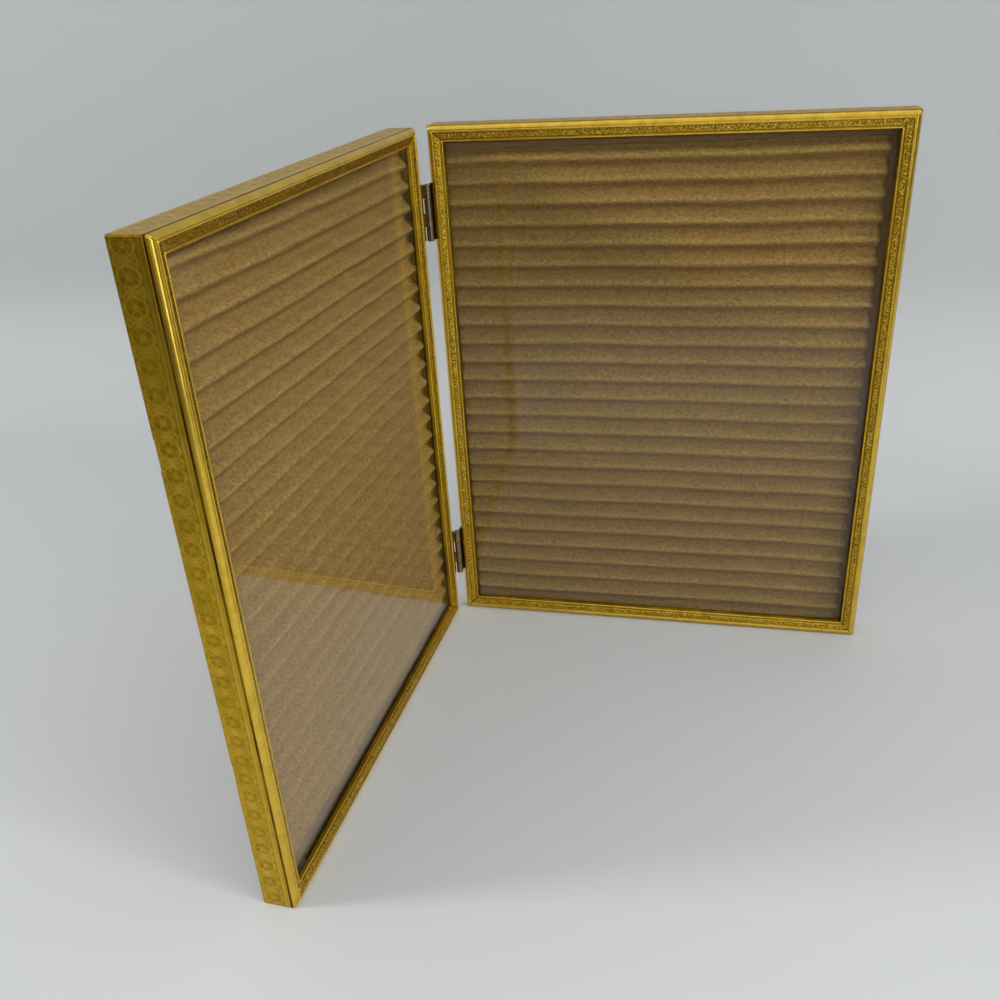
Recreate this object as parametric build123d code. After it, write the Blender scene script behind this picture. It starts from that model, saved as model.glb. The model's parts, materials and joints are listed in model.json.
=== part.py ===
from build123d import *
import math
import os

# A hinged double photo frame. Two glazed leaves of thin gold-toned metal moulding stand upright
# and fold together on two small butt hinges, like a book.
#
# All sizes are in millimetres. Each leaf is modelled as the right-hand one: X runs from its hinge
# wall outwards, Y from its front (negative) to its back, Z up from its bottom edge. Y = 0 is the
# plane of the ridge where the side wall meets the front moulding.

# Sizes of the glazing and of what lies behind it
glass_width = 203.2
glass_height = 254.0
glass_thickness = 2.0
glass_edge_chamfer = 0.3
glass_side_clearance = 0.9
insert_short_in_width = 9.2
insert_short_in_height = 12.0
flute_pitch = 9.55
flute_height = 4.2
flute_slope = 50.0
paper_thickness = 0.25
liner_thickness = 0.35
glue_depth = 0.06
board_thickness = 4.0
board_clearance = 0.8
board_corner_radius = 1.5

# How each loose insert lies in its leaf. Its first crest is counted from its own lower edge.
right_insert_from_hinge = 5.3
right_insert_lift = 5.85
right_insert_tilt = 0.3
right_first_crest = 7.45
left_insert_from_hinge = 6.0
left_insert_lift = 12.2
left_insert_tilt = 0.6
left_first_crest = 5.05

# Moulding section: inset from the outer wall, and rise in front of the ridge plane
sheet_thickness = 0.6
glass_margin = 3.0
quirk_rise = 0.75
quirk_centre_rise = 0.35
quirk_radius = 0.3
band_inset = 2.1
band_rise = 2.75
band_crown = 0.3
ornament_start_inset = 3.25
ornament_start_rise = 2.75
ornament_end_inset = 6.05
ornament_end_rise = 1.95
lip_inset = 7.4
lip_rise = 0.75
sight_inset = 7.87
seat_depth = 0.25
bead_radius = 0.45
lip_bead_radius = 0.4
mitre_gap = 0.3

# Tabs bent in from the wall's back edge to hold the board
tab_width = 10.0
tab_length = 8.0
tab_from_end = 66.0
tab_slit = 0.15
tab_slit_depth = 0.9
wall_beyond_tab = 0.25

# Corner keys inside the mitres
key_leg = 22.0
key_thickness = 1.2
key_depth = 5.2
key_setback = 1.0

# Hinges
hinge_length = 26.0
hinge_from_end = 25.0
axis_from_wall = 1.32
knuckles = 4
knuckle_gap = 0.25
pin_radius = 0.85
pin_running_clearance = 0.05
pin_end_projection = 0.2
pin_end_chamfer = 0.2
plate_thickness = 0.8
plate_width = 11.5
plate_corner_radius = 1.0
plate_barrel_clearance = 0.35
rivet_radius = 1.0
rivet_head_radius = 1.7
rivet_head_height = 0.6
rivet_sink_depth = 0.5
rivet_from_end = 6.5
rivet_from_ridge = 3.2

# Pose
closed_gap = 2.88
opening_angle = 93.0

# Sizes that follow
leaf_width = glass_width + 2 * (glass_margin + glass_side_clearance)
leaf_height = glass_height + 2 * glass_margin
insert_width = glass_width - insert_short_in_width
insert_height = glass_height - insert_short_in_height
half_pitch = flute_pitch / 2
half_flutes = math.ceil(insert_height / half_pitch) + 2
insert_depth = flute_height + liner_thickness - glue_depth
glass_back = seat_depth + glass_thickness
insert_back = glass_back + insert_depth
board_back = insert_back + board_thickness
tab_back = board_back + sheet_thickness
wall_depth = tab_back + wall_beyond_tab
key_inner_inset = sheet_thickness + key_thickness
bead_inset = (band_inset + ornament_start_inset) / 2
bead_rise = (band_rise + ornament_start_rise) / 2
lip_bead_inset = (ornament_end_inset + lip_inset) / 2
lip_bead_rise = (ornament_end_rise + lip_rise) / 2
front_rise = bead_rise + bead_radius
barrel_radius = pin_radius + pin_running_clearance + plate_thickness
axis_x = -axis_from_wall
axis_y = -(front_rise + closed_gap / 2)
knuckle_pitch = hinge_length / knuckles
hinge_bottoms = {"upper": leaf_height - hinge_from_end - hinge_length, "lower": hinge_from_end}
rivet_heights = (rivet_from_end, hinge_length - rivet_from_end)
beyond = 2 * wall_depth


def moulding_section():
    """Section of a rail in the YZ plane: Y is depth, Z the inset from the outer wall."""
    wall = Line((wall_depth, 0), (-quirk_rise, 0))
    band = SagittaArc(wall @ 1, (-band_rise, band_inset), band_crown)
    face = Polyline(
        band @ 1,
        (-ornament_start_rise, ornament_start_inset),
        (-ornament_end_rise, ornament_end_inset),
        (-lip_rise, lip_inset),
        (seat_depth, sight_inset),
    )
    skeleton = Wire(wall.edges() + band.edges() + face.edges())
    sheet = make_face(offset(skeleton, sheet_thickness, kind=Kind.INTERSECTION, side=Side.RIGHT))
    rebate = Pos(seat_depth, glass_margin) * Rectangle(wall_depth, beyond, align=(Align.MIN, Align.MIN))
    section = sheet - rebate
    section += Pos(-bead_rise, bead_inset) * Circle(bead_radius)
    section += Pos(-lip_bead_rise, lip_bead_inset) * Circle(lip_bead_radius)
    section -= Pos(-quirk_centre_rise, 0) * Circle(quirk_radius)
    return Plane.YZ * section


def block(x, y, z):
    """Box between two limits on each axis."""
    size = [high - low for low, high in (x, y, z)]
    return Pos(x[0], y[0], z[0]) * Box(*size, align=(Align.MIN, Align.MIN, Align.MIN))


def tab(middle):
    """Tab bent in over the board, centred at a place along the rail."""
    half = tab_width / 2
    slit_start = tab_back - tab_slit_depth
    strip = Polyline((slit_start, 0), (tab_back, 0), (tab_back, tab_length))
    bent = make_face(offset(strip, sheet_thickness, kind=Kind.INTERSECTION, side=Side.LEFT))
    return Pos(middle - half, 0, 0) * extrude(Plane.YZ * bent, tab_width)


def rail(length):
    """Mitred rail along X with its outer wall on Z = 0 and its two tabs."""
    body = extrude(moulding_section(), length)
    for middle in (tab_from_end, length - tab_from_end):
        half = tab_width / 2 + tab_slit
        body -= block((middle - half, middle + half), (tab_back - tab_slit_depth, beyond), (0, sheet_thickness))
        body += tab(middle)
    short = mitre_gap / math.sqrt(2)
    trim = Polygon(
        (short, 0),
        (length - short, 0),
        (length - short - beyond, beyond),
        (short + beyond, beyond),
        align=None,
    )
    return body & extrude(Plane.XZ * trim, beyond, both=True)


def rivet_holes():
    """Holes through the hinge wall for every hinge rivet."""
    holes = [
        Pos(0, rivet_from_ridge, bottom + height) * Rot(0, 90, 0) * Cylinder(rivet_radius, beyond)
        for bottom in hinge_bottoms.values()
        for height in rivet_heights
    ]
    return Part() + holes


def leaf_rails():
    """The four mitred rails of a leaf."""
    hinge_stile = Pos(0, 0, leaf_height) * Rot(0, 90, 0) * rail(leaf_height)
    return {
        "bottom_rail": rail(leaf_width),
        "top_rail": Pos(leaf_width, 0, leaf_height) * Rot(0, 180, 0) * rail(leaf_width),
        "hinge_stile": hinge_stile - rivet_holes(),
        "outer_stile": Pos(leaf_width, 0, 0) * Rot(0, -90, 0) * rail(leaf_height),
    }


def corner_keys():
    """Four angle pieces that join the rails inside the mitres."""
    low, high = sheet_thickness, key_inner_inset
    depth = (key_setback, key_setback + key_depth)
    reach = sheet_thickness + key_leg
    key = block((low, reach), depth, (low, high)) + block((low, high), depth, (low, reach))
    return [
        key,
        Pos(leaf_width, 0, 0) * Rot(0, -90, 0) * key,
        Pos(leaf_width, 0, leaf_height) * Rot(0, 180, 0) * key,
        Pos(0, 0, leaf_height) * Rot(0, 90, 0) * key,
    ]


def glass():
    """Pane that rests on the lower keys and against the sight edge."""
    side = glass_margin + glass_side_clearance
    pane = block(
        (side, side + glass_width),
        (seat_depth, glass_back),
        (key_inner_inset, key_inner_inset + glass_height),
    )
    return chamfer(pane.edges(), glass_edge_chamfer)


def flute_line(side):
    """Edges of the fluted paper's front (side 1) or back (side -1) face: X along, Y across the flutes."""
    slope = math.radians(flute_slope)
    rise = flute_height - paper_thickness
    straight = (rise * math.sin(slope) - half_pitch * (1 - math.cos(slope))) / (
        math.sin(slope) ** 2 - math.cos(slope) * (1 - math.cos(slope))
    )
    radius = (half_pitch - straight * math.cos(slope)) / (2 * math.sin(slope))
    shift = side * paper_thickness / 2
    edges = []
    last = Vector(-shift * math.sin(slope), rise / 2 + shift * math.cos(slope))
    for half in range(half_flutes):
        up = 1 if half % 2 == 0 else -1
        middle = (half + 0.5) * half_pitch
        centre = Vector(middle, rise / 2 + up * (rise / 2 - radius))
        bend = radius + up * shift
        start = centre + Vector(-bend * math.sin(slope), up * bend * math.cos(slope))
        top = centre + Vector(0, up * bend)
        end = centre + Vector(bend * math.sin(slope), up * bend * math.cos(slope))
        edges += [Line(last, start), ThreePointArc(start, top, end)]
        last = end
    up = 1 if half_flutes % 2 == 0 else -1
    finish = Vector(half_flutes * half_pitch - up * shift * math.sin(slope), rise / 2 + shift * math.cos(slope))
    edges.append(Line(last, finish))
    return edges


def corrugated_insert(first_crest):
    """Single-faced corrugated board, cut to height: fluted paper to the front, flat liner behind."""
    front = flute_line(1)
    back = flute_line(-1)
    ends = [Line(front[0] @ 0, back[0] @ 0), Line(front[-1] @ 1, back[-1] @ 1)]
    start = half_pitch / 2 + flute_pitch - first_crest
    cut = Rectangle(insert_height, beyond, align=(Align.MIN, Align.CENTER))
    flutes = (Pos(-start, 0) * make_face(front + back + ends)) & cut
    liner_front = glue_depth - paper_thickness / 2
    liner = Pos(0, liner_front) * Rectangle(insert_height, liner_thickness, align=(Align.MIN, Align.MAX))
    section = Plane((0, 0, 0), x_dir=(0, 0, 1), z_dir=(1, 0, 0)) * (flutes + liner)
    crest = flute_height - paper_thickness / 2
    return Pos(0, glass_back + crest, 0) * extrude(section, insert_width)


def laid_insert(first_crest, from_hinge, lift, tilt):
    """Insert set in a leaf, turned about its middle so that its outer end stands a little higher."""
    middle = Pos(insert_width / 2, 0, insert_height / 2)
    turned = middle * Rot(0, -tilt, 0) * middle.inverse() * corrugated_insert(first_crest)
    return Pos(from_hinge, 0, lift) * turned


def backing_board():
    """Board that closes the back, held under the tabs."""
    edge = sheet_thickness + board_clearance
    board = block((edge, leaf_width - edge), (insert_back, board_back), (edge, leaf_height - edge))
    return fillet(board.edges().filter_by(Axis.Y), board_corner_radius)


def knuckle(number):
    """Height range of a knuckle, counted from the bottom of the hinge."""
    low = number * knuckle_pitch + knuckle_gap / 2
    return low, low + knuckle_pitch - knuckle_gap


def rivet():
    """Flush countersunk rivet along X: its sunk end on the plate's face, its formed head inside."""
    inner = plate_thickness + sheet_thickness
    outline = Polyline(
        (0, 0),
        (0, rivet_head_radius),
        (rivet_sink_depth, rivet_radius),
        (inner, rivet_radius),
        (inner, rivet_head_radius),
        (inner + rivet_head_height, rivet_radius),
        (inner + rivet_head_height, 0),
        close=True,
    )
    return Pos(-plate_thickness, rivet_from_ridge, 0) * revolve(make_face(outline), Axis.X)


def rivets(bottom):
    """The rivets of one hinge plate."""
    return [Pos(0, 0, bottom + height) * rivet() for height in rivet_heights]


def sunk_hole():
    """Countersunk hole for a rivet, through the plate along X."""
    outline = Polyline(
        (0, 0),
        (0, rivet_head_radius),
        (rivet_sink_depth, rivet_radius),
        (plate_thickness, rivet_radius),
        (plate_thickness, 0),
        close=True,
    )
    return Pos(-plate_thickness, rivet_from_ridge, 0) * revolve(make_face(outline), Axis.X)


def hinge_plate(own_knuckles, bore_radius):
    """Plate on the hinge wall, rolled into its own knuckles about the pin."""
    back = axis_y + plate_width
    clear = axis_y + barrel_radius + plate_barrel_clearance
    plate = block((-plate_thickness, 0), (clear, back), (0, hinge_length))
    plate = fillet(plate.edges().filter_by(Axis.X).group_by(Axis.Y)[-1], plate_corner_radius)
    for number in own_knuckles:
        low, high = knuckle(number)
        barrel = Pos(axis_x, axis_y, (low + high) / 2) * Cylinder(barrel_radius, high - low)
        plate += block((-plate_thickness, 0), (axis_y, clear), (low, high))
        plate += barrel
    plate -= Pos(axis_x, axis_y, hinge_length / 2) * Cylinder(bore_radius, hinge_length)
    for height in rivet_heights:
        plate -= Pos(0, 0, height) * sunk_hole()
    return plate


def hinge_pin():
    """Pin through all knuckles, with chamfered ends that stand a little out of them."""
    pin = Cylinder(pin_radius, hinge_length + 2 * pin_end_projection)
    pin = chamfer(pin.edges().filter_by(GeomType.CIRCLE), pin_end_chamfer)
    return Pos(axis_x, axis_y, hinge_length / 2) * pin


def swing(piece):
    """Carry a piece of the right leaf over to the left leaf at the opening angle."""
    flat = mirror(piece, about=Plane((axis_x, axis_y, 0), x_dir=(0, 1, 0), z_dir=(1, 0, 0)))
    turn = Pos(axis_x, axis_y, 0) * Rot(0, 0, 180 - opening_angle) * Pos(-axis_x, -axis_y, 0)
    return turn * flat


def assembly():
    """Every piece under its node name, each as a list of solids."""
    pieces = leaf_rails()
    pieces["corner_keys"] = corner_keys()
    pieces["glass"] = glass()
    pieces["backing_board"] = backing_board()
    right_insert = laid_insert(right_first_crest, right_insert_from_hinge, right_insert_lift, right_insert_tilt)
    left_insert = laid_insert(left_first_crest, left_insert_from_hinge, left_insert_lift, left_insert_tilt)
    nodes = {}
    for name, piece in pieces.items():
        solids = piece if isinstance(piece, list) else [piece]
        nodes["right_" + name] = solids
        nodes["left_" + name] = [swing(solid) for solid in solids]
    nodes["right_corrugated_insert"] = [right_insert]
    nodes["left_corrugated_insert"] = [swing(left_insert)]
    left_knuckles = range(1, knuckles, 2)
    right_knuckles = range(0, knuckles, 2)
    right_plate = hinge_plate(right_knuckles, pin_radius)
    left_plate = hinge_plate(left_knuckles, pin_radius + pin_running_clearance)
    for level, bottom in hinge_bottoms.items():
        lift = Pos(0, 0, bottom)
        nodes[level + "_hinge_right_plate"] = [lift * right_plate]
        nodes[level + "_hinge_left_plate"] = [swing(lift * left_plate)]
        nodes[level + "_hinge_pin"] = [lift * hinge_pin()]
        nodes[level + "_hinge_right_rivets"] = rivets(bottom)
        nodes[level + "_hinge_left_rivets"] = [swing(solid) for solid in rivets(bottom)]
    return nodes


def main():
    nodes = assembly()
    boxes = [solid.bounding_box() for solids in nodes.values() for solid in solids]
    low = [min(getattr(box.min, axis) for box in boxes) for axis in "XYZ"]
    high = [max(getattr(box.max, axis) for box in boxes) for axis in "XYZ"]
    centre = Pos(-(low[0] + high[0]) / 2, -(low[1] + high[1]) / 2, -low[2])
    os.makedirs("parts", exist_ok=True)
    for name, solids in nodes.items():
        placed = [centre * solid for solid in solids]
        shape = placed[0] if len(placed) == 1 else Compound(children=placed)
        export_step(shape, os.path.join("parts", name + ".step"))
    print("pin axis at", (centre * Pos(axis_x, axis_y, 0)).position)
    print("overall size", [top - bottom for bottom, top in zip(low, high)])


main()
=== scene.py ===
import json
import math

import bpy
import numpy as np
from mathutils import Matrix, Vector


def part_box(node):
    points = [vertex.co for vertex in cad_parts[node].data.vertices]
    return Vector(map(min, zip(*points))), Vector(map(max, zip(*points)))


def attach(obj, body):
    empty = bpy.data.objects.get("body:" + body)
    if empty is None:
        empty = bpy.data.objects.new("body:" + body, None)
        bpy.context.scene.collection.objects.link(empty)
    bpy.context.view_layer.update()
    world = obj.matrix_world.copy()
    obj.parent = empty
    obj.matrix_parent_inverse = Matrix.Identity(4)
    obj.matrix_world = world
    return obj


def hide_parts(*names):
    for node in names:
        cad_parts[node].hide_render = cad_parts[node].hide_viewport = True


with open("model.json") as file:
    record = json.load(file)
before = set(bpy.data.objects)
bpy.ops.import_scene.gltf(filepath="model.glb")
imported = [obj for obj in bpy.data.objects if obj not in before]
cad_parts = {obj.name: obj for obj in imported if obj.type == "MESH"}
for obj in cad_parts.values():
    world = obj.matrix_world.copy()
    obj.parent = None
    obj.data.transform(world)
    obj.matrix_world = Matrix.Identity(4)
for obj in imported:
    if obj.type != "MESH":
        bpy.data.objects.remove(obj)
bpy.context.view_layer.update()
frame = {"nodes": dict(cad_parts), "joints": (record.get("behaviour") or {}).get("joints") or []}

# Places read from the frame. Sizes of the object are in millimetres, those of the stage in metres.
MM = 0.001
SIDES = ("right", "left")
GLASS_MARGIN = 3.0
GLASS_SIDE = 3.9
SEAT_DEPTH = 0.25
OPENING_ANGLE = math.radians(93)
glass_low, glass_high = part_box("right_glass")
rail_low, rail_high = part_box("right_bottom_rail")
leaf_origin = Vector((glass_low.x - GLASS_SIDE * MM, glass_low.y - SEAT_DEPTH * MM, 0))
LEAF_WIDTH = (glass_high.x - glass_low.x) / MM + 2 * GLASS_SIDE
LEAF_HEIGHT = (glass_high.z - glass_low.z) / MM + 2 * GLASS_MARGIN
WALL_DEPTH = (rail_high.y - leaf_origin.y) / MM
GLASS_BACK = SEAT_DEPTH + (glass_high.y - glass_low.y) / MM
pin_axis = Vector(frame["joints"][0]["pos_m"])

# Moulding section: points of (inset from the outer wall, rise in front of the ridge plane)
SHEET = 0.6
RIDGE_RISE = 0.75
QUIRK_CENTRE_RISE = 0.35
QUIRK_RADIUS = 0.3
BAND_START = (0.05, RIDGE_RISE + 0.06)
BAND_END = (2.1, 2.75)
BAND_CROWN = 0.35
BEAD_CENTRE = (2.66, 2.75)
BEAD_RADIUS = 0.43
BEAD_START = (BEAD_CENTRE[0] - BEAD_RADIUS, BEAD_CENTRE[1] - 0.05)
BEAD_END = (BEAD_CENTRE[0] + BEAD_RADIUS, BEAD_CENTRE[1] - 0.1)
BEAD_GROOVE_DEPTH = 0.05
ORNAMENT_START = (3.28, 2.7)
ORNAMENT_END = (5.8, 2.02)
ORNAMENT_CROWN = 0.08
LIP_CENTRE = (6.78, 1.28)
LIP_RADIUS = 0.4
LIP_START = (LIP_CENTRE[0] - LIP_RADIUS, LIP_CENTRE[1])
LIP_END = (LIP_CENTRE[0] + LIP_RADIUS, LIP_CENTRE[1] - 0.1)
GROOVE_DEPTH = 0.3
SIGHT_INSET = 7.87
MITRE_GAP = 0.3
INNER_FACE = [
    (SIGHT_INSET - SHEET, -SEAT_DEPTH),
    (LIP_CENTRE[0], LIP_CENTRE[1] - SHEET),
    (ORNAMENT_START[0], ORNAMENT_START[1] - SHEET),
    (BAND_END[0] + 0.1, BAND_END[1] - 1.3 * SHEET),
    (SHEET, RIDGE_RISE - 0.5 * SHEET),
    (SHEET, 2 - WALL_DEPTH),
    (SHEET, -WALL_DEPTH),
]

# Tabs bent in over the backing board
TAB_WIDTH = 10.0
TAB_LENGTH = 8.0
TAB_FROM_END = 66.0
TAB_SLIT = 0.15
TAB_SLIT_DEPTH = 0.9
TAB_BACK = WALL_DEPTH - 0.25
TAB_CORNER = 0.8
TAB_LOOK = {"relief": 0.45, "polish": 0.45, "fleck": 0.0}

# Embossing, and the spacing of the points that carry it
SCROLL_PITCH = 8.6
SCROLL_LOW = 2.5
SCROLL_HIGH = 11.1
SCROLL_DEPTH = 0.04
SCROLL_FADE = 0.4
SCROLL_SOFTENING = 8
LINE_DEPTH = (1.3, 1.8)
ORNAMENT_PITCH = 3.2
ORNAMENT_DEPTH = 0.14
ORNAMENT_STIPPLE = 0.035
FINE_STEP = 0.35
WALL_STEP = 0.25
BORDER_STEP = 0.3
LINE_STEP = 0.15
RETURN_STEP = 0.5
CLOSE = 0.02
FIELD_STEP = 0.08
STROKE_STEP = 0.1
SQUEEZE_FROM = SCROLL_HIGH - 2.0

# Polish and level of each zone of the section. A level below zero marks the bare inner faces.
POLISH = {
    "border": 0.2, "scroll": 0.0, "line": 0.4, "groove": 0.0, "band": 1.0, "bead": 0.9,
    "ornament": 0.1, "lip": 0.7, "return": 0.0, "inner": 0.0, "shade": 0.0,
}
LEVEL = {
    "border": 0.4, "scroll": 0.3, "line": 0.6, "groove": 0.0, "band": 1.0, "bead": 0.9,
    "ornament": 0.3, "lip": 1.0, "return": 0.1, "inner": -1.0, "shade": 0.1,
}

# Corrugated inserts
INSERT_WIDTH = {"right": 196.1, "left": 197.0}
INSERT_HEIGHT = {"right": 243.2, "left": 242.0}
INSERT_FROM_HINGE = {"right": 5.3, "left": 6.0}
INSERT_LIFT = {"right": 5.85, "left": 12.2}
INSERT_TILT = {"right": 0.3, "left": 1.1}
FIRST_CREST = {"right": 7.85, "left": 7.6}
FLUTE_PITCH = {"right": 9.6, "left": 9.45}
FLUTE_HEIGHT = 4.2
CREST_POWER = 1.3
CRUSH = 0.12
PAPER = 0.25
LINER = 0.35
GLUE_DEPTH = 0.06
POINTS_ACROSS = 98
POINTS_UP = 606

# Noises, as period, detail and roughness
GOLD_MOTTLE = (5.0, 5.0, 0.6)
GOLD_STIPPLE = (0.4, 2.0, 0.6)
GOLD_WEAR = (24.0, 3.0, 0.55)
GOLD_CHIPS = (0.75, 2.0, 0.6)
CARD_CLOUD = (14.0, 4.0, 0.55)
CARD_FIBRE = (0.9, 4.0, 0.7)
CARD_SPECK = (1.0, 2.0, 0.6)
BOARD_CLOUD = (9.0, 5.0, 0.6)
BOARD_GRAIN = (0.5, 3.0, 0.55)
GLASS_SMEAR = (30.0, 4.0, 0.55)
BRONZE_RUB = (2.4, 4.0, 0.6)
BRONZE_GRAIN = (0.3, 3.0, 0.55)

# Colours
GOLD_GROOVE = (0.07, 0.03, 0.002)
GOLD_GROUND = (0.5, 0.29, 0.006)
GOLD_RAISED = (0.9, 0.61, 0.055)
GOLD_WORN = (0.52, 0.305, 0.008)
GOLD_PLAIN = ((0.78, 0.49, 0.045), (0.86, 0.58, 0.085))
# Painted highlight: pale glints painted on the ornament
GOLD_PAINTED_GLINT = (0.94, 0.7, 0.17)
# Painted shade: dark pits painted on the ornament
GOLD_PIT_SHADE = (0.15, 0.065, 0.003)
GOLD_INNER = (0.035, 0.018, 0.008)
CARD_BROWN = ((0.28, 0.166, 0.043), (0.345, 0.213, 0.059))
# Painted shade for the valleys between the flute crests
CARD_VALLEY_SHADE = (0.2, 0.11, 0.026)
CARD_FIBRE_DARK = (0.14, 0.076, 0.018)
CARD_SPECK_DARK = (0.07, 0.035, 0.02)
BOARD_BROWN = ((0.19, 0.1, 0.035), (0.24, 0.135, 0.05))
BOARD_DARK = (0.13, 0.068, 0.025)
GLASS_TINT = (0.97, 0.985, 0.975, 1)
GLASS_SHADOW = (0.95, 0.97, 0.955, 1)
BRONZE = ((0.27, 0.21, 0.145), (0.46, 0.37, 0.26))
STEEL = ((0.30, 0.30, 0.31), (0.45, 0.45, 0.46))
FLOOR_PALE = (0.66, 0.683, 0.683)
BACKDROP_PALE = (0.595, 0.622, 0.625)
# Painted shade for the floor towards the camera and at the right front
FLOOR_SHADE = (0.1, 0.1, 0.1)

# Camera
CAMERA_LENS = 35.23
CAMERA_SENSOR = 36.0
CAMERA_FROM_LEAF = (136.58, -454.04, 312.48)
CAMERA_TURN = (62.483, 3.233, 12.357)

# Stage: the floor's half width, front and back edges, the bend up to the backdrop, and the backdrop's top
STAGE_HALF = 2.2
STAGE_NEAR = -1.8
STAGE_FAR = 0.30
STAGE_BEND = 0.12
STAGE_TOP = 1.6

# Spans over which the floor turns from painted shade to pale
PALE_FROM_FRONT = (-0.62, -0.24)
PALE_FROM_RIGHT = (0.48, 0.28)
PALE_AT_REAR = (-0.18, -0.02)
BACKDROP_RISE = (0.0, 0.1)

# World greys from the camera's side, at zero, to the backdrop's side
WORLD_GREYS = ((0.0, 0.04), (0.3, 0.12), (0.55, 0.5), (1.0, 0.6))
WORLD_STRENGTH = 0.6

# Lamps, as place, target, width and height, and watts
LAMPS = {
    "right_lamp": ((0.98, -0.33, 0.8), (0, 0, 0.1), (0.22, 0.22), 3.6),
    "left_lamp": ((-1.18, -0.41, 0.8), (0, 0, 0.1), (0.22, 0.22), 6.2),
    "right_window": ((1.1, -1.1, 0.45), (0, 0, 0.45), (1.15, 0.9), 3),
    "right_card": ((0.435, -0.355, 0.4), (-0.12, -0.19, 0.4), (0.12, 0.75), 0.68),
    "front_card": ((0.05, -0.62, 0.37), (0, 0.1, 0.13), (0.4, 0.2), 0.55),
    "overhead": ((0.1, 0.0, 1.4), (0, 0, 0), (3.0, 2.4), 16),
}


def leaf_matrix(side):
    """Leaf millimetres to scene metres. The left leaf is the right one mirrored and swung about the pins."""
    place = Matrix.Translation(leaf_origin) @ Matrix.Scale(MM, 4)
    if side == "right":
        return place
    flip = Matrix.Scale(-1, 4, Vector((1, 0, 0)))
    turn = Matrix.Rotation(math.pi - OPENING_ANGLE, 4, "Z")
    about = Matrix.Translation(pin_axis)
    return about @ turn @ flip @ about.inverted() @ place


def new_mesh(name, points, faces, material):
    """Smooth mesh of one material."""
    mesh = bpy.data.meshes.new(name)
    mesh.from_pydata(points, [], faces)
    mesh.polygons.foreach_set("use_smooth", [True] * len(mesh.polygons))
    mesh.materials.append(material)
    return mesh


def add_object(name, data):
    made = bpy.data.objects.new(name, data)
    bpy.context.scene.collection.objects.link(made)
    return made


def add_piece(name, points, faces, side, material, replaced, attributes):
    """A mesh piece given in leaf millimetres, set on its leaf, with its points' attributes."""
    matrix = np.array(leaf_matrix(side))
    placed = points @ matrix[:3, :3].T + matrix[:3, 3]
    if side == "left":
        faces = [face[::-1] for face in faces]
    piece = add_object(name, new_mesh(name, placed.tolist(), faces, material))
    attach(piece, side + "_leaf")
    if replaced:
        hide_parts(*replaced)
    for key, values in attributes.items():
        layer = piece.data.attributes.new(key, "FLOAT", "POINT")
        layer.data.foreach_set("value", np.asarray(values, np.float32))


# Node helpers

def new_material(name):
    material = bpy.data.materials.new(name)
    material.use_nodes = True
    tree = material.node_tree
    return material, tree, tree.nodes["Principled BSDF"]


def connect(tree, value, socket):
    """Links a socket's value, or sets a plain one."""
    if isinstance(value, bpy.types.NodeSocket):
        tree.links.new(value, socket)
    else:
        socket.default_value = value


def node(tree, kind, settings=None, **inputs):
    """Adds a node, sets its properties, and sets or links its inputs by name."""
    made = tree.nodes.new(kind)
    for key, value in (settings or {}).items():
        setattr(made, key, value)
    for key, value in inputs.items():
        connect(tree, value, made.inputs[key.replace("_", " ")])
    return made


def coordinates(tree, scale=(1, 1, 1)):
    """Object coordinates in millimetres, stretched."""
    source = node(tree, "ShaderNodeTexCoord").outputs["Object"]
    mapping = node(tree, "ShaderNodeMapping", Vector=source)
    mapping.inputs["Scale"].default_value = [s / MM for s in scale]
    return mapping.outputs["Vector"]


def noise(tree, where, period, detail, roughness):
    settings = {"Scale": 1 / period, "Detail": detail, "Roughness": roughness}
    return node(tree, "ShaderNodeTexNoise", Vector=where, **settings).outputs["Fac"]


def ramp(tree, value, *stops):
    """Colour ramp with stops of (place, colour or grey)."""
    made = node(tree, "ShaderNodeValToRGB", Fac=value)
    elements = made.color_ramp.elements
    while len(elements) < len(stops):
        elements.new(0.5)
    for element, (place, colour) in zip(elements, stops):
        element.position = place
        element.color = (*colour, 1) if isinstance(colour, tuple) else (colour, colour, colour, 1)
    return made.outputs["Color"]


def mix(tree, amount, first, second, blend="MIX"):
    """Mix of two colours, each a colour or a socket."""
    made = node(tree, "ShaderNodeMix", {"data_type": "RGBA", "blend_type": blend})
    for name, value in (("Factor_Float", amount), ("A_Color", first), ("B_Color", second)):
        socket = next(s for s in made.inputs if s.identifier == name)
        connect(tree, (*value, 1) if isinstance(value, tuple) else value, socket)
    return next(s for s in made.outputs if s.identifier == "Result_Color")


def maths(tree, operation, *values, clamp=False):
    made = node(tree, "ShaderNodeMath", {"operation": operation, "use_clamp": clamp})
    for value, socket in zip(values, made.inputs):
        connect(tree, value, socket)
    return made.outputs[0]


def fade(tree, value, span):
    """Share from 0 to 1 of the way across a span."""
    made = node(tree, "ShaderNodeMapRange", Value=value, From_Min=span[0], From_Max=span[1])
    return made.outputs["Result"]


def attribute(tree, name):
    return node(tree, "ShaderNodeAttribute", {"attribute_name": name}).outputs["Fac"]


def bump(tree, shader, height, distance):
    made = node(tree, "ShaderNodeBump", Height=height, Distance=distance * MM, Strength=1.0)
    tree.links.new(made.outputs["Normal"], shader.inputs["Normal"])


# Materials

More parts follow.
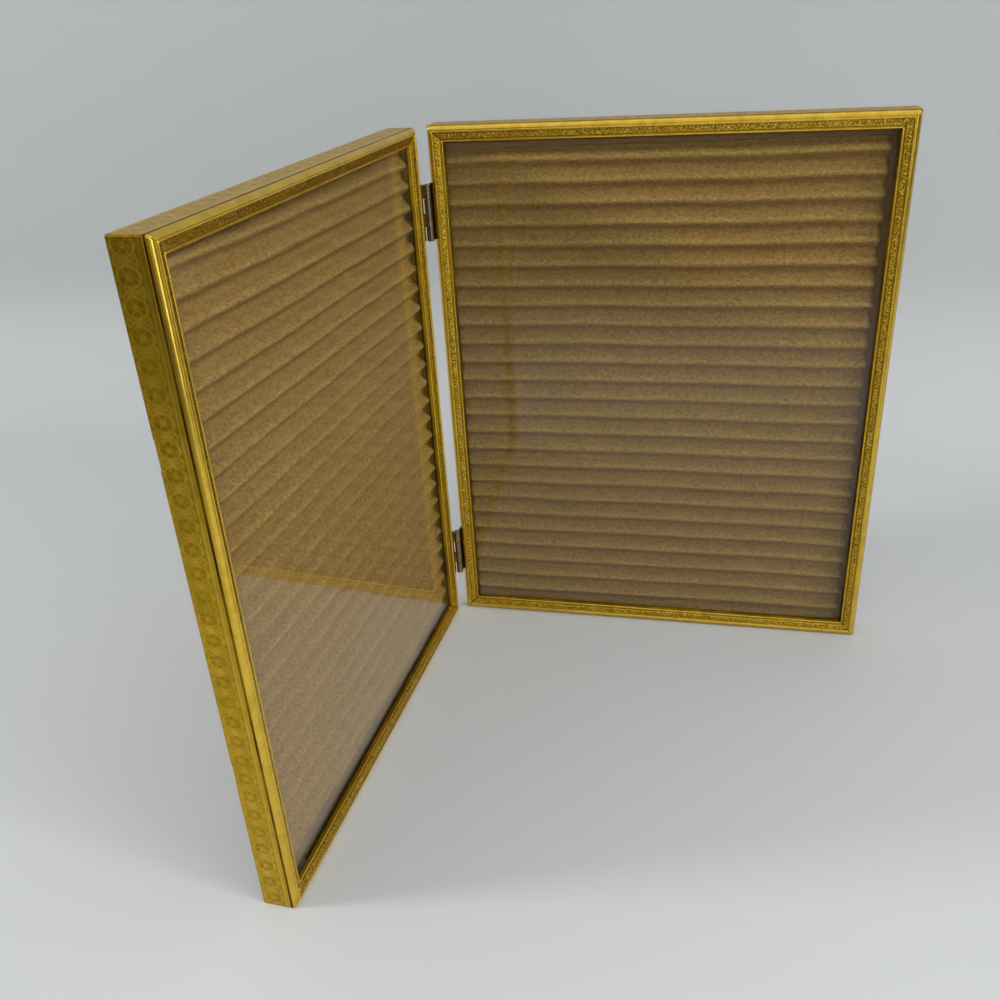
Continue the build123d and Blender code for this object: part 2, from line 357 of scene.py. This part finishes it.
def gold_material():
    """Gold-toned metal: satin stippled ground, paler raised ornament with painted glints and painted shade
    in its pits, polished bands, dark inner faces.
    """
    material, tree, shader = new_material("gold_moulding")
    where = coordinates(tree)
    relief = attribute(tree, "relief")
    polish = attribute(tree, "polish")
    fleck = attribute(tree, "fleck")
    mottle = noise(tree, where, *GOLD_MOTTLE)
    stipple = noise(tree, where, *GOLD_STIPPLE)
    chips = noise(tree, where, *GOLD_CHIPS)

    tone = ramp(tree, relief, (0.0, GOLD_GROOVE), (0.3, GOLD_GROUND), (1.0, GOLD_RAISED))
    worn = ramp(tree, noise(tree, where, *GOLD_WEAR), (0.42, 0.0), (0.62, 0.45))
    tone = mix(tree, worn, tone, GOLD_WORN)
    colour = mix(tree, polish, tone, mix(tree, mottle, *GOLD_PLAIN))
    # Painted highlight: glints painted on the ornament where the chips noise is high, on its raised bumps
    painted_glint = maths(tree, "MULTIPLY", fleck, ramp(tree, chips, (0.56, 0.0), (0.68, 1.0)))
    colour = mix(tree, painted_glint, colour, GOLD_PAINTED_GLINT)
    # Painted shade: dark pits painted on the ornament where the chips noise is low, in its hollows
    pit_shade = maths(tree, "MULTIPLY", fleck, ramp(tree, chips, (0.36, 0.85), (0.47, 0.0)))
    colour = mix(tree, pit_shade, colour, GOLD_PIT_SHADE)
    aged = ramp(tree, mottle, (0.32, 0.7), (0.6, 1.0))
    colour = mix(tree, 0.6, colour, aged, "MULTIPLY")
    inside = maths(tree, "MULTIPLY", relief, -1.0, clamp=True)
    colour = mix(tree, inside, colour, GOLD_INNER)
    tree.links.new(colour, shader.inputs["Base Color"])
    tree.links.new(maths(tree, "SUBTRACT", 1.0, inside), shader.inputs["Metallic"])

    smoothed = maths(tree, "MULTIPLY_ADD", polish, -0.2, 0.38)
    rough = maths(tree, "ADD", smoothed, maths(tree, "MULTIPLY", stipple, 0.08))
    tree.links.new(rough, shader.inputs["Roughness"])
    shader.inputs["Coat Weight"].default_value = 0.06
    shader.inputs["Coat Roughness"].default_value = 0.2
    fine = maths(tree, "MULTIPLY", stipple, maths(tree, "SUBTRACT", 1.0, polish))
    coarse = maths(tree, "MULTIPLY", chips, maths(tree, "MULTIPLY", fleck, 3.5))
    bump(tree, shader, maths(tree, "ADD", fine, coarse), 0.02)
    return material


def card_material():
    """Brown kraft paper with fibres and specks, with painted shade between the crests."""
    material, tree, shader = new_material("kraft_card")
    where = coordinates(tree)
    fibre = noise(tree, coordinates(tree, (0.6, 0.6, 1)), *CARD_FIBRE)
    speck = noise(tree, where, *CARD_SPECK)
    colour = mix(tree, noise(tree, where, *CARD_CLOUD), *CARD_BROWN)
    # Painted shade: the colour darkens away from the crests, into the valleys of the flutes
    valley_shade = ramp(tree, attribute(tree, "crest"), (0.25, 0.45), (0.9, 0.0))
    colour = mix(tree, valley_shade, colour, CARD_VALLEY_SHADE)
    colour = mix(tree, ramp(tree, fibre, (0.36, 0.9), (0.6, 0.0)), colour, CARD_FIBRE_DARK)
    colour = mix(tree, ramp(tree, speck, (0.665, 0.0), (0.715, 0.8)), colour, CARD_SPECK_DARK)
    tree.links.new(colour, shader.inputs["Base Color"])
    shader.inputs["Roughness"].default_value = 0.85
    shader.inputs["Specular IOR Level"].default_value = 0.25
    bump(tree, shader, fibre, 0.08)
    return material


def board_material():
    """Brown paper over the backing board."""
    material, tree, shader = new_material("backing_board")
    where = coordinates(tree)
    grain = noise(tree, where, *BOARD_GRAIN)
    colour = mix(tree, noise(tree, where, *BOARD_CLOUD), *BOARD_BROWN)
    colour = mix(tree, ramp(tree, grain, (0.35, 0.4), (0.6, 0.0)), colour, BOARD_DARK)
    tree.links.new(colour, shader.inputs["Base Color"])
    shader.inputs["Roughness"].default_value = 0.8
    bump(tree, shader, grain, 0.05)
    return material


def glass_material():
    """Clear pane, faintly smeared, which lets lamp light through to the card."""
    material, tree, shader = new_material("clear_glass")
    shader.inputs["Base Color"].default_value = GLASS_TINT
    shader.inputs["Transmission Weight"].default_value = 1.0
    shader.inputs["IOR"].default_value = 1.36
    smear = noise(tree, coordinates(tree), *GLASS_SMEAR)
    tree.links.new(ramp(tree, smear, (0.4, 0.0), (0.8, 0.03)), shader.inputs["Roughness"])
    path = node(tree, "ShaderNodeLightPath")
    clear = node(tree, "ShaderNodeBsdfTransparent", Color=GLASS_SHADOW)
    both = node(tree, "ShaderNodeMixShader", Fac=path.outputs["Is Shadow Ray"])
    tree.links.new(shader.outputs[0], both.inputs[1])
    tree.links.new(clear.outputs[0], both.inputs[2])
    tree.links.new(both.outputs[0], tree.nodes["Material Output"].inputs["Surface"])
    return material


def bronze_material(name, colours, roughness):
    """Plain dull metal, rubbed brighter here and there."""
    material, tree, shader = new_material(name)
    rub = noise(tree, coordinates(tree), *BRONZE_RUB)
    grain = noise(tree, coordinates(tree, (1, 1, 0.25)), *BRONZE_GRAIN)
    colour = mix(tree, ramp(tree, rub, (0.5, 0.0), (0.75, 1.0)), *colours)
    tree.links.new(colour, shader.inputs["Base Color"])
    shader.inputs["Metallic"].default_value = 1.0
    rough = maths(tree, "MULTIPLY_ADD", grain, 0.1, roughness)
    tree.links.new(rough, shader.inputs["Roughness"])
    bump(tree, shader, grain, 0.01)
    return material


# Moulding

def straight(start, end, step):
    steps = max(2, round(math.dist(start, end) / step) + 1)
    return [tuple(p) for p in np.linspace(start, end, steps)]


def up_wall(low, high, step):
    """Points up the outer wall from one rise to another."""
    return straight((0, low), (0, high), step)


def arc(centre, radius, start, end, steps):
    """Points of (inset, rise) on a circle, angles in degrees from inwards towards the front."""
    turn = np.radians(np.linspace(start, end, steps))
    return [(centre[0] + radius * math.cos(a), centre[1] + radius * math.sin(a)) for a in turn]


def crowned(start, end, crown, steps):
    """Points on a shallow bulge from one point to another."""
    share = np.linspace(0, 1, steps)
    line = np.outer(1 - share, start) + np.outer(share, end)
    across = np.array([start[1] - end[1], end[0] - start[0]]) / math.dist(start, end)
    return [tuple(p) for p in line + np.outer(4 * crown * share * (1 - share), across)]


def between(first, second, sink):
    """Bottom of a groove between two edges, sunk back from the middle of them."""
    return ((first[0] + second[0]) / 2, (first[1] + second[1]) / 2 - sink)


def section():
    """Faces of the moulding as rows of (depth, inset), with a zone name for each row."""
    band = crowned(BAND_START, BAND_END, BAND_CROWN, 15)
    line_low, line_high = -LINE_DEPTH[1], -LINE_DEPTH[0]
    runs = [
        ("border", up_wall(-WALL_DEPTH, -SCROLL_HIGH, WALL_STEP)),
        ("scroll", up_wall(-SCROLL_HIGH, -SCROLL_LOW, FINE_STEP)),
        ("border", up_wall(-SCROLL_LOW, line_low, BORDER_STEP)),
        ("line", up_wall(line_low, line_high, LINE_STEP)),
        ("border", up_wall(line_high, QUIRK_CENTRE_RISE - QUIRK_RADIUS, BORDER_STEP)),
        ("groove", arc((0, QUIRK_CENTRE_RISE), QUIRK_RADIUS, -90, 90, 7)),
        ("groove", [(0, RIDGE_RISE - 0.04), (0.04, RIDGE_RISE + 0.03)]),
        ("shade", band[:2]),
        ("band", band[2:]),
        ("band", [between(BAND_END, BEAD_START, BEAD_GROOVE_DEPTH)]),
        ("bead", arc(BEAD_CENTRE, BEAD_RADIUS, 180, 5, 9)),
        ("groove", [between(BEAD_END, ORNAMENT_START, GROOVE_DEPTH)]),
        ("ornament", crowned(ORNAMENT_START, ORNAMENT_END, ORNAMENT_CROWN, 13)),
        ("groove", [between(ORNAMENT_END, LIP_START, GROOVE_DEPTH)]),
        ("lip", arc(LIP_CENTRE, LIP_RADIUS, 175, 20, 8)),
        ("return", straight(LIP_END, (SIGHT_INSET, -SEAT_DEPTH), RETURN_STEP)),
        ("inner", INNER_FACE),
    ]
    rows, zones = [], []
    for zone, points in runs:
        for inset, rise in points:
            row = (-rise, inset)
            if rows and math.dist(rows[-1], row) < CLOSE:
                continue
            rows.append(row)
            zones.append(zone)
    return np.array(rows), zones


def stroke_field(strokes, length, height, soften=0):
    """Height map from 0 to 1, repeating along its length, of rounded strokes: points and half widths."""
    along = np.arange(0, length, FIELD_STEP)
    across = np.arange(0, height + FIELD_STEP, FIELD_STEP)
    grid_s, grid_t = np.meshgrid(along, across, indexing="ij")
    field = np.zeros(grid_s.shape)
    for points, widths in strokes:
        for (s, t), width in zip(points, widths):
            gap = (grid_s - s + length / 2) % length - length / 2
            squared = 1 - (gap**2 + (grid_t - t) ** 2) / width**2
            field = np.maximum(field, squared)
    field = np.sqrt(np.clip(field, 0, 1))
    for _ in range(soften):
        field = (np.roll(field, 1, axis=0) + field + np.roll(field, -1, axis=0)) / 3
        wide = np.pad(field, ((0, 0), (1, 1)), "edge")
        field = (wide[:, :-2] + field + wide[:, 2:]) / 3
    return field


def spread(points, widths):
    """Points along a line through a few, close enough together to draw a stroke."""
    points = np.asarray(points, float)
    spans = np.linalg.norm(np.diff(points, axis=0), axis=1)
    at = np.concatenate([[0], np.cumsum(spans)])
    fine = np.arange(0, at[-1], STROKE_STEP)
    line = np.stack([np.interp(fine, at, points[:, i]) for i in (0, 1)], axis=1)
    return line, np.interp(fine, np.linspace(0, at[-1], len(widths)), widths)


def scroll_strokes(pitch, height):
    """Running pattern of rings, each round a small flower, with a lobe between one ring and the next."""
    middle = height / 2
    turn = np.linspace(0, 2 * math.pi, 120)
    ring = np.stack([pitch / 2 + 0.37 * pitch * np.cos(turn), middle + 0.43 * height * np.sin(turn)], axis=1)
    strokes = [(ring, 0.5 + 0.15 * np.cos(4 * turn))]
    petals = np.linspace(0, 2 * math.pi, 6)[:-1]
    flower = np.stack([pitch / 2 + 0.75 * np.cos(petals), middle + 0.75 * np.sin(petals)], axis=1)
    strokes.append((flower, [0.55] * len(petals)))
    strokes.append(spread([(0, 0.28 * height), (0, 0.72 * height)], (0.35, 0.8, 0.8, 0.35)))
    for end in (0.06, 0.94):
        edge = end * height
        strokes.append(spread([(-0.16 * pitch, edge), (0.16 * pitch, edge)], (0.2, 0.5, 0.2)))
        for lean in (-1, 1):
            root = (0, height * (0.5 + 0.5 * (end - 0.5)))
            tip = (lean * 0.2 * pitch, edge)
            strokes.append(spread([root, tip], (0.4, 0.25)))
    centre = np.array([pitch / 2, middle])
    for angle in np.radians((35, 80, 145, 215, 260, 325)):
        reach = np.array([math.cos(angle), math.sin(angle)])
        strokes.append(spread([centre + 1.5 * reach, centre + 2.6 * reach], (0.15, 0.28)))
    return strokes


def ornament_strokes(pitch, height):
    """Slanting strokes by turns long and short, with a row of small beads along the inner edge."""
    strokes = []
    sprays = ((0.0, 1.0, 0.32), (0.5, 0.75, 0.28))
    for start, reach, width in sprays:
        root = np.array([start * pitch, 0.08 * height])
        tip = root + np.array([0.42 * pitch * reach, 0.7 * height * reach])
        strokes.append(spread([root, tip], (0.1, width, width, 0.08)))
    for start in (0.17, 0.5, 0.83):
        strokes.append((np.array([[start * pitch, 0.86 * height]]), [0.42]))
    return strokes


def look_up(field, along, across):
    """Bilinear value of a repeating height map."""
    count, rows = field.shape
    s = (along / FIELD_STEP) % count
    t = np.clip(across / FIELD_STEP, 0, rows - 1.001)
    i, j = s.astype(int), t.astype(int)
    a, b = s - i, t - j
    k = (i + 1) % count
    low = field[i % count, j] * (1 - a) + field[k, j] * a
    high = field[i % count, j + 1] * (1 - a) + field[k, j + 1] * a
    return low * (1 - b) + high * b


def tab_middles(length):
    return (TAB_FROM_END, length - TAB_FROM_END)


def rail_columns(length):
    """Places along a rail, as shares of its length, with close pairs at the slits beside each tab."""
    shares = list(np.linspace(0, 1, round(length / FINE_STEP) + 1))
    for middle in tab_middles(length):
        for reach in (TAB_WIDTH / 2, TAB_WIDTH / 2 + TAB_SLIT):
            for place in (middle - reach, middle + reach):
                shares += [(place - CLOSE) / length, (place + CLOSE) / length]
    return np.array(sorted(shares))


def back_edge(along, length):
    """Depth of the wall's back edge: whole, cut in at the slits, and bent in at the tabs."""
    depth = np.full(along.shape, WALL_DEPTH)
    for middle in tab_middles(length):
        gap = np.abs(along - middle)
        depth = np.where(gap < TAB_WIDTH / 2 + TAB_SLIT, TAB_BACK - TAB_SLIT_DEPTH, depth)
        depth = np.where(gap < TAB_WIDTH / 2, TAB_BACK, depth)
    return depth


def tab_prism(middle, first):
    """Tab lying over the board, as points of (along, depth, inset) and faces counted from a first index."""
    half, free = TAB_WIDTH / 2, TAB_LENGTH
    outline = [
        (-half, SHEET / 2), (half, SHEET / 2), (half, free - TAB_CORNER),
        (half - TAB_CORNER, free), (TAB_CORNER - half, free), (-half, free - TAB_CORNER),
    ]
    count = len(outline)
    points = [(middle + s, depth, e) for depth in (TAB_BACK - SHEET, TAB_BACK) for s, e in outline]
    faces = [list(range(first, first + count)), list(range(first + count, first + 2 * count))[::-1]]
    for i in range(count):
        j = (i + 1) % count
        faces.append([first + count + i, first + count + j, first + j, first + i])
    return points, faces


def mitred(inset, shares, length):
    """Places along a rail, between mitres that cut it shorter the further in a point is."""
    cut = inset + MITRE_GAP / math.sqrt(2)
    return cut + (length - 2 * cut) * shares[None, :]


def tabbed(depth, inset, shares, length):
    """Depths with the back of the wall drawn in to its edge at the tabs and slits."""
    limit = back_edge(length * np.repeat(shares[None, :], len(depth), axis=0), length)
    squeezed = SQUEEZE_FROM + (depth - SQUEEZE_FROM) * (limit - SQUEEZE_FROM) / (WALL_DEPTH - SQUEEZE_FROM)
    return np.where((depth > SQUEEZE_FROM) & (inset < SHEET + 0.01), squeezed, depth)


def height_maps(length):
    """Scroll and ornament as height maps whose pitches divide a rail's length."""
    scroll_pitch = length / round(length / SCROLL_PITCH)
    scroll_height = SCROLL_HIGH - SCROLL_LOW
    strokes = scroll_strokes(scroll_pitch, scroll_height)
    scroll = stroke_field(strokes, scroll_pitch, scroll_height, SCROLL_SOFTENING)
    leaf_pitch = length / round(length / ORNAMENT_PITCH)
    leaf_height = math.dist(ORNAMENT_START, ORNAMENT_END)
    leaf = stroke_field(ornament_strokes(leaf_pitch, leaf_height), leaf_pitch, leaf_height)
    return scroll, leaf


def emboss(rows, zones, along, depth, maps):
    """Lift of each point along the section's normal, its relief for the gold, and its fleck, the mask for
    the ornament's bumps, painted glints and painted pit shade.
    """
    chance = np.random.default_rng(7)
    scroll, leaf = maps
    columns = along.shape[1]
    relief = np.repeat(np.array([LEVEL[z] for z in zones])[:, None], columns, axis=1)
    fleck = np.zeros(depth.shape)
    lift = np.zeros(depth.shape)
    for i, zone in enumerate(zones):
        if zone == "scroll":
            raised = look_up(scroll, along[i], depth[i] - SCROLL_LOW)
            from_edge = min(rows[i, 0] - SCROLL_LOW, SCROLL_HIGH - rows[i, 0])
            stipple = chance.uniform(-1, 1, columns) * (1 - 0.6 * raised)
            lift[i] = (raised - 1) * SCROLL_DEPTH * min(1.0, from_edge / SCROLL_FADE)
            relief[i] = np.clip(0.26 + 0.5 * raised + 0.15 * stipple, 0, 1)
        if zone == "ornament":
            across = math.dist(rows[i], (-ORNAMENT_START[1], ORNAMENT_START[0]))
            raised = look_up(leaf, along[i], np.full(columns, across))
            stipple = chance.uniform(-1, 1, columns)
            lift[i] = (raised - 1) * ORNAMENT_DEPTH + ORNAMENT_STIPPLE * stipple
            relief[i] = np.clip(0.22 + 0.7 * raised + 0.2 * stipple, 0, 1)
            fleck[i] = 1.0
        if zone == "border":
            lift[i] = -SCROLL_DEPTH
    return lift, relief, fleck


def tube_faces(count, columns):
    """Faces of a tube that closes on itself round the section, with both ends capped."""
    index = np.arange(count * columns).reshape(count, columns)
    after = np.roll(index, -1, axis=0)
    quads = np.stack([index[:, :-1], index[:, 1:], after[:, 1:], after[:, :-1]], axis=-1).reshape(-1, 4)
    return quads.tolist() + [index[:, 0].tolist(), index[::-1, -1].tolist()]


def rail_mesh(length):
    """Points of (along, depth, inset), faces and point attributes of one embossed, mitred rail."""
    rows, zones = section()
    shares = rail_columns(length)
    count, columns = len(rows), len(shares)
    tangent = np.gradient(rows, axis=0)
    tangent /= np.linalg.norm(tangent, axis=1)[:, None]
    inset = np.repeat(rows[:, 1:], columns, axis=1)
    depth = tabbed(np.repeat(rows[:, :1], columns, axis=1), inset, shares, length)
    along = mitred(inset, shares, length)
    lift, relief, fleck = emboss(rows, zones, along, depth, height_maps(length))
    polish = np.repeat([POLISH[z] for z in zones], columns)
    depth = depth - tangent[:, 1:] * lift
    inset = inset + tangent[:, :1] * lift
    along = mitred(inset, shares, length)
    points = np.stack([along, depth, inset], axis=-1).reshape(-1, 3).tolist()
    faces = tube_faces(count, columns)
    values = {"relief": relief.ravel().tolist(), "polish": polish.tolist(), "fleck": fleck.ravel().tolist()}
    for middle in tab_middles(length):
        more, more_faces = tab_prism(middle, len(points))
        points += more
        faces += more_faces
        for key, value in TAB_LOOK.items():
            values[key] += [value] * len(more)
    return np.array(points), faces, values


def set_rail(points, which):
    """Turns rail points of (along, depth, inset) into leaf points for one of the four rails."""
    along, depth, inset = points.T
    if which == "bottom_rail":
        return np.stack([along, depth, inset], axis=1)
    if which == "top_rail":
        return np.stack([LEAF_WIDTH - along, depth, LEAF_HEIGHT - inset], axis=1)
    if which == "outer_stile":
        return np.stack([LEAF_WIDTH - inset, depth, along], axis=1)
    return np.stack([inset, depth, LEAF_HEIGHT - along], axis=1)


def make_rails(material):
    across = rail_mesh(LEAF_WIDTH)
    upright = rail_mesh(LEAF_HEIGHT)
    for which in ("bottom_rail", "top_rail", "outer_stile", "hinge_stile"):
        points, faces, values = upright if which.endswith("stile") else across
        placed = set_rail(points, which)
        for side in SIDES:
            name = side + "_" + which
            add_piece(name + "_moulding", placed, faces, side, material, [name], values)


# Corrugated inserts

def sheet_faces(front, back):
    """Faces of a closed sheet between two grids of vertex numbers."""
    faces = []
    for grid, turned in ((front, False), (back, True)):
        corners = [grid[:-1, :-1], grid[:-1, 1:], grid[1:, 1:], grid[1:, :-1]]
        quads = np.stack(corners, axis=-1).reshape(-1, 4)
        faces += (quads[:, ::-1] if turned else quads).tolist()
    rim, under = [
        np.concatenate([grid[0, :], grid[1:, -1], grid[-1, -2::-1], grid[-2:0:-1, 0]]).tolist()
        for grid in (front, back)
    ]
    for i in range(len(rim)):
        j = (i + 1) % len(rim)
        faces.append([rim[j], rim[i], under[i], under[j]])
    return faces


def fluted_sheet(side):
    """Both faces of the fluted paper as grids of points, and how near each is to a crest."""
    width, height = INSERT_WIDTH[side], INSERT_HEIGHT[side]
    up = np.linspace(0, height, POINTS_UP)
    x, t = np.meshgrid(np.linspace(0, width, POINTS_ACROSS), up)
    wander = 0.25 * np.sin(x / 31 + t / 60) + 0.15 * np.sin(x / 12.3 - t / 23)
    phase = 2 * math.pi * (t - FIRST_CREST[side] + wander) / FLUTE_PITCH[side]
    low = CRUSH * (1 + np.sin(x / 17 + t / 9.1)) * (1 + np.sin(t / 29 - x / 40)) / 4
    crest = ((1 + np.cos(phase)) / 2) ** CREST_POWER
    depth = GLASS_BACK + (FLUTE_HEIGHT - PAPER) * (low + (1 - low) * (1 - crest))
    slope = np.gradient(depth, up, axis=0)
    tilt = np.sqrt(1 + slope**2)
    front = np.stack([x, depth, t], axis=-1)
    back = np.stack([x, depth + PAPER / tilt, np.clip(t - PAPER * slope / tilt, 0, height)], axis=-1)
    return front, back, crest


def insert_mesh(side):
    """Fluted paper glued to a flat liner: leaf points, faces, and how near each point is to a crest."""
    width, height = INSERT_WIDTH[side], INSERT_HEIGHT[side]
    front, back, crest = fluted_sheet(side)
    x, t = np.meshgrid([0, width], [0, height])
    liner_front = GLASS_BACK + FLUTE_HEIGHT - GLUE_DEPTH
    liner = [np.stack([x, np.full(x.shape, y), t], axis=-1) for y in (liner_front, liner_front + LINER)]
    points, faces, first = [], [], 0
    for near, far in ((front, back), liner):
        count = near.shape[0] * near.shape[1]
        grid = first + np.arange(count).reshape(near.shape[:2])
        faces += sheet_faces(grid, grid + count)
        points += [near.reshape(-1, 3), far.reshape(-1, 3)]
        first += 2 * count
    points = np.concatenate(points)
    middle = np.array([width / 2, 0, height / 2])
    turn = np.array(Matrix.Rotation(-math.radians(INSERT_TILT[side]), 3, "Y"))
    points = (points - middle) @ turn.T + middle
    crests = np.zeros(len(points))
    crests[: 2 * crest.size] = np.tile(crest.ravel(), 2)
    return points + np.array([INSERT_FROM_HINGE[side], 0, INSERT_LIFT[side]]), faces, crests


def make_inserts(material):
    for side in SIDES:
        points, faces, crests = insert_mesh(side)
        name = side + "_corrugated_insert"
        add_piece(name + "_card", points, faces, side, material, [name], {"crest": crests})


# Camera, stage and light

def make_camera():
    data = bpy.data.cameras.new("camera")
    data.lens = CAMERA_LENS
    data.sensor_width = CAMERA_SENSOR
    camera = add_object("camera", data)
    camera.location = leaf_origin + Vector(CAMERA_FROM_LEAF) * MM
    camera.rotation_euler = [math.radians(a) for a in CAMERA_TURN]
    bpy.context.scene.camera = camera


def stage_material():
    """Pale sheet, with painted shade where the floor runs out of view towards the camera and at the right
    front.
    """
    material, tree, shader = new_material("sweep")
    place = node(tree, "ShaderNodeTexCoord").outputs["Object"]
    parts = node(tree, "ShaderNodeSeparateXYZ", Vector=place).outputs
    front = fade(tree, parts["Y"], PALE_FROM_FRONT)
    right = fade(tree, parts["X"], PALE_FROM_RIGHT)
    rear = fade(tree, parts["Y"], PALE_AT_REAR)
    pale = maths(tree, "MULTIPLY", front, maths(tree, "MAXIMUM", right, rear))
    sheet = mix(tree, fade(tree, parts["Z"], BACKDROP_RISE), FLOOR_PALE, BACKDROP_PALE)
    # Painted shade on the floor towards the camera and at the right front, pale sheet elsewhere
    tree.links.new(mix(tree, pale, FLOOR_SHADE, sheet), shader.inputs["Base Color"])
    shader.inputs["Roughness"].default_value = 0.6
    return material


def make_stage():
    """Floor that curves up into a backdrop."""
    profile = [(STAGE_NEAR, 0.0), (STAGE_FAR, 0.0)]
    for turn in np.radians(np.linspace(6, 90, 15)):
        rise = STAGE_BEND - STAGE_BEND * math.cos(turn)
        profile.append((STAGE_FAR + STAGE_BEND * math.sin(turn), rise))
    profile.append((STAGE_FAR + STAGE_BEND, STAGE_TOP))
    points = [(x, y, z) for y, z in profile for x in (-STAGE_HALF, STAGE_HALF)]
    faces = [(2 * i, 2 * i + 1, 2 * i + 3, 2 * i + 2) for i in range(len(profile) - 1)]
    sweep = add_object("sweep", new_mesh("sweep", points, faces, stage_material()))


def make_world():
    """Soft light that is pale behind the object and dark towards the camera."""
    world = bpy.data.worlds.new("tent")
    world.use_nodes = True
    tree = world.node_tree
    direction = node(tree, "ShaderNodeTexCoord").outputs["Generated"]
    parts = node(tree, "ShaderNodeSeparateXYZ", Vector=direction)
    share = maths(tree, "MULTIPLY_ADD", parts.outputs["Y"], 0.5, 0.5)
    background = tree.nodes["Background"]
    tree.links.new(ramp(tree, share, *WORLD_GREYS), background.inputs["Color"])
    background.inputs["Strength"].default_value = WORLD_STRENGTH
    bpy.context.scene.world = world


def make_lamp(name, place, target, size, watts):
    data = bpy.data.lights.new(name, "AREA")
    data.shape = "RECTANGLE"
    data.size, data.size_y = size
    data.energy = watts
    lamp = add_object(name, data)
    lamp.location = place
    lamp.rotation_euler = (Vector(target) - Vector(place)).to_track_quat("-Z", "Y").to_euler()


bpy.context.scene.view_settings.view_transform = "Standard"
make_rails(gold_material())
card = card_material()
make_inserts(card)
bronze = bronze_material("hinge_bronze", BRONZE, 0.1)
looks = {
    "glass": glass_material(),
    "corrugated_insert": card,
    "backing_board": board_material(),
    "corner_keys": bronze_material("key_steel", STEEL, 0.35),
    "plate": bronze,
    "rivets": bronze,
    "pin": bronze,
}
for name, piece in frame["nodes"].items():
    for ending, material in looks.items():
        if name.endswith(ending):
            piece.data.materials.clear()
            piece.data.materials.append(material)
make_camera()
make_stage()
make_world()
for name, settings in LAMPS.items():
    make_lamp(name, *settings)
